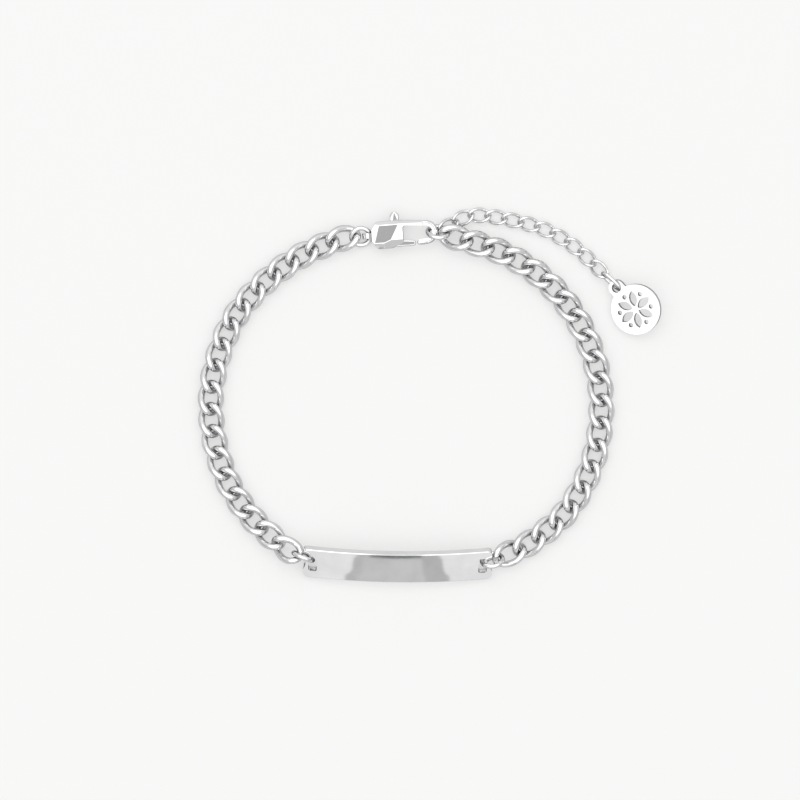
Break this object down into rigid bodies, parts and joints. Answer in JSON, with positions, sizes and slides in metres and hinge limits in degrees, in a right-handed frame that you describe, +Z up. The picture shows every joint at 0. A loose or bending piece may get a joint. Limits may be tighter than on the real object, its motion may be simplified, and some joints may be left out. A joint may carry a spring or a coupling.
{
  "type": "identity bracelet",
  "caption": "Curved name plate on a twisted curb chain, closed by a lobster clasp with a sprung lever, with an extender chain that ends in a pierced round tag.",
  "frame": {"origin": "centre of the closed loop, on the surface that the bracelet lies on", "axes": "+Z up from the surface, the name plate towards -Y, the clasp towards +Y, the extender chain outside the loop at +X +Y"},
  "size_m": [0.0714, 0.0576, 0.0049],
  "materials": {
    "silver": "polished silver"
  },
  "bodies": {
    "bracelet": {"id_plate": "silver", "plate_ring_left": "silver", "plate_ring_right": "silver", "clasp_body": "silver", "clasp_rivet": "silver", "clasp_ring": "silver", "end_ring": "silver", "extender_chain": "silver", "tag_ring": "silver", "tag": "silver", "link_left_1": "silver", "link_left_2": "silver", "link_left_3": "silver", "link_left_4": "silver", "link_left_5": "silver", "link_left_6": "silver", "link_left_7": "silver", "link_left_8": "silver", "link_left_9": "silver", "link_left_10": "silver", "link_left_11": "silver", "link_left_12": "silver", "link_left_13": "silver", "link_left_14": "silver", "link_left_15": "silver", "link_left_16": "silver", "link_left_17": "silver", "link_left_18": "silver", "link_left_19": "silver", "link_right_1": "silver", "link_right_2": "silver", "link_right_3": "silver", "link_right_4": "silver", "link_right_5": "silver", "link_right_6": "silver", "link_right_7": "silver", "link_right_8": "silver", "link_right_9": "silver", "link_right_10": "silver", "link_right_11": "silver", "link_right_12": "silver", "link_right_13": "silver", "link_right_14": "silver", "link_right_15": "silver", "link_right_16": "silver", "link_right_17": "silver", "link_right_18": "silver", "link_right_19": "silver", "link_right_20": "silver"},
    "lever": {"clasp_lever": "silver"}
  },
  "joints": [
    {"name": "lever_hinge", "type": "hinge", "parent": "bracelet", "child": "lever", "pos_m": [-0.00204, 0.02447, 0.00146], "axis": [-0.0487, -0.0034, 0.9988], "range_deg": [0, 25], "stiffness_Nm_per_rad": 0.0005, "springref_deg": -5.73}
  ]
}
